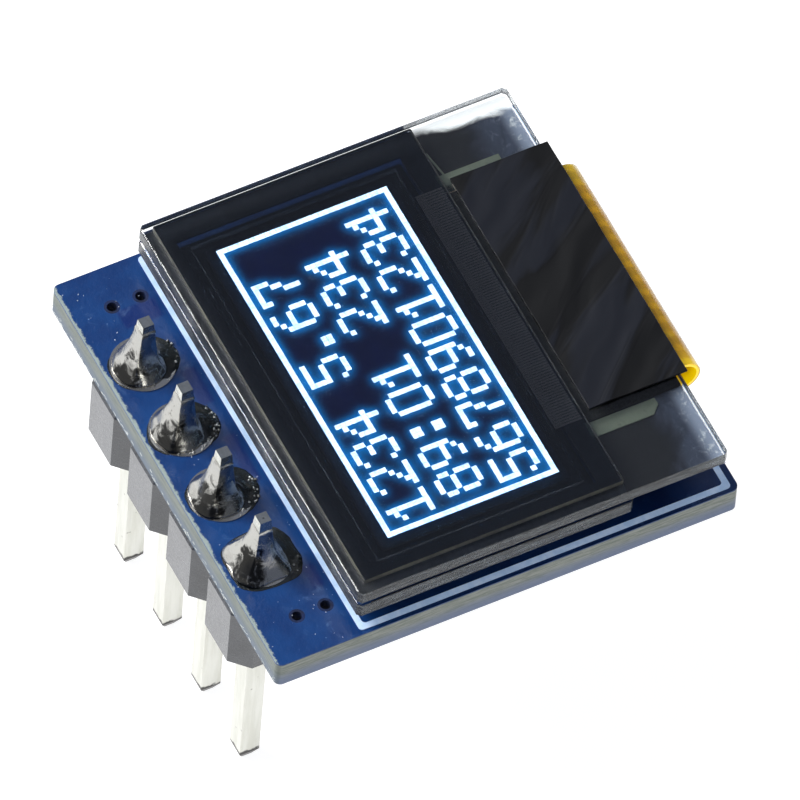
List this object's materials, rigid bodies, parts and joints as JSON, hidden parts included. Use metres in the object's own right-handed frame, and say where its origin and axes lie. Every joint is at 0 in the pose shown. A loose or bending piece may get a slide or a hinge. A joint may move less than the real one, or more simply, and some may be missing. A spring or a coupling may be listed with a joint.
{
  "type": "small oled module",
  "caption": "Small display module: a glass display panel taped to a square blue circuit board, with a soldered row of square header pins below one edge.",
  "frame": {"origin": "middle of the header pin row on the underside of the header housing, which is its seating plane", "axes": "+X along the display's reading direction and the pin row, +Y from the display towards the header edge, +Z outwards from the display's face"},
  "size_m": [0.0148, 0.0157, 0.012],
  "materials": {
    "board_laminate": "glass-fibre laminate with glossy deep blue solder mask on both faces and bare pale green-grey sawn edges",
    "screen_print": "printed pale ink line",
    "header_plastic": "moulded black plastic, satin",
    "pin_metal": "tin-plated square wire with drawn marks",
    "solder": "bright solder with dried flux round its foot",
    "copper": "tinned copper",
    "foam": "dark closed-cell foam with glue on both faces",
    "rear_glass": "ground edge glass",
    "clear_glass": "clear polished glass with scribed edges",
    "getter": "matt white drying sheet",
    "seal_glue": "cured clear glue",
    "light_layer": "lit dots in a pale cyan on a dark field",
    "track_metal": "thin grey-green metal film",
    "polarizer_film": "glossy smoke-dark film",
    "bare_silicon": "polished dark silicon",
    "black_tape": "black film tape with faint wrinkles",
    "amber_film": "clear amber film over copper tracks",
    "capacitor_ceramic": "fired tan ceramic with tinned ends",
    "resistor_ceramic": "black glaze on white ceramic with tinned ends",
    "moulding": "moulded black epoxy"
  },
  "bodies": {
    "root": {"black_tape": "black_tape", "capacitor_1": "capacitor_ceramic", "capacitor_2": "capacitor_ceramic", "capacitor_3": "capacitor_ceramic", "capacitor_4": "capacitor_ceramic", "capacitor_5": "capacitor_ceramic", "capacitor_6": "capacitor_ceramic", "capacitor_7": "capacitor_ceramic", "chip_lands": "copper", "chip_solder": "solder", "circuit_board": "board_laminate", "cover_glass": "rear_glass", "driver_chip": "bare_silicon", "edge_seal": "seal_glue", "emitting_layer": "light_layer", "flex_conductors": "copper", "flex_cover": "amber_film", "flex_film": "amber_film", "flex_lands": "copper", "flex_solder": "solder", "foam_pad": "foam", "front_glass": "clear_glass", "getter_sheet": "getter", "header_housing": "header_plastic", "header_pin_1": "pin_metal", "header_pin_2": "pin_metal", "header_pin_3": "pin_metal", "header_pin_4": "pin_metal", "ledge_tracks": "track_metal", "pin_hole_plating_1": "copper", "pin_hole_plating_2": "copper", "pin_hole_plating_3": "copper", "pin_hole_plating_4": "copper", "pin_solder_1": "solder", "pin_solder_2": "solder", "pin_solder_3": "solder", "pin_solder_4": "solder", "polarizer": "polarizer_film", "regulator_body": "moulding", "regulator_lead_1": "pin_metal", "regulator_lead_2": "pin_metal", "regulator_lead_3": "pin_metal", "resistor_1": "resistor_ceramic", "resistor_2": "resistor_ceramic", "resistor_3": "resistor_ceramic", "resistor_4": "resistor_ceramic", "silkscreen_frame": "screen_print", "via_plating_1": "copper", "via_plating_2": "copper", "via_plating_3": "copper", "via_plating_4": "copper"}
  },
  "joints": []
}
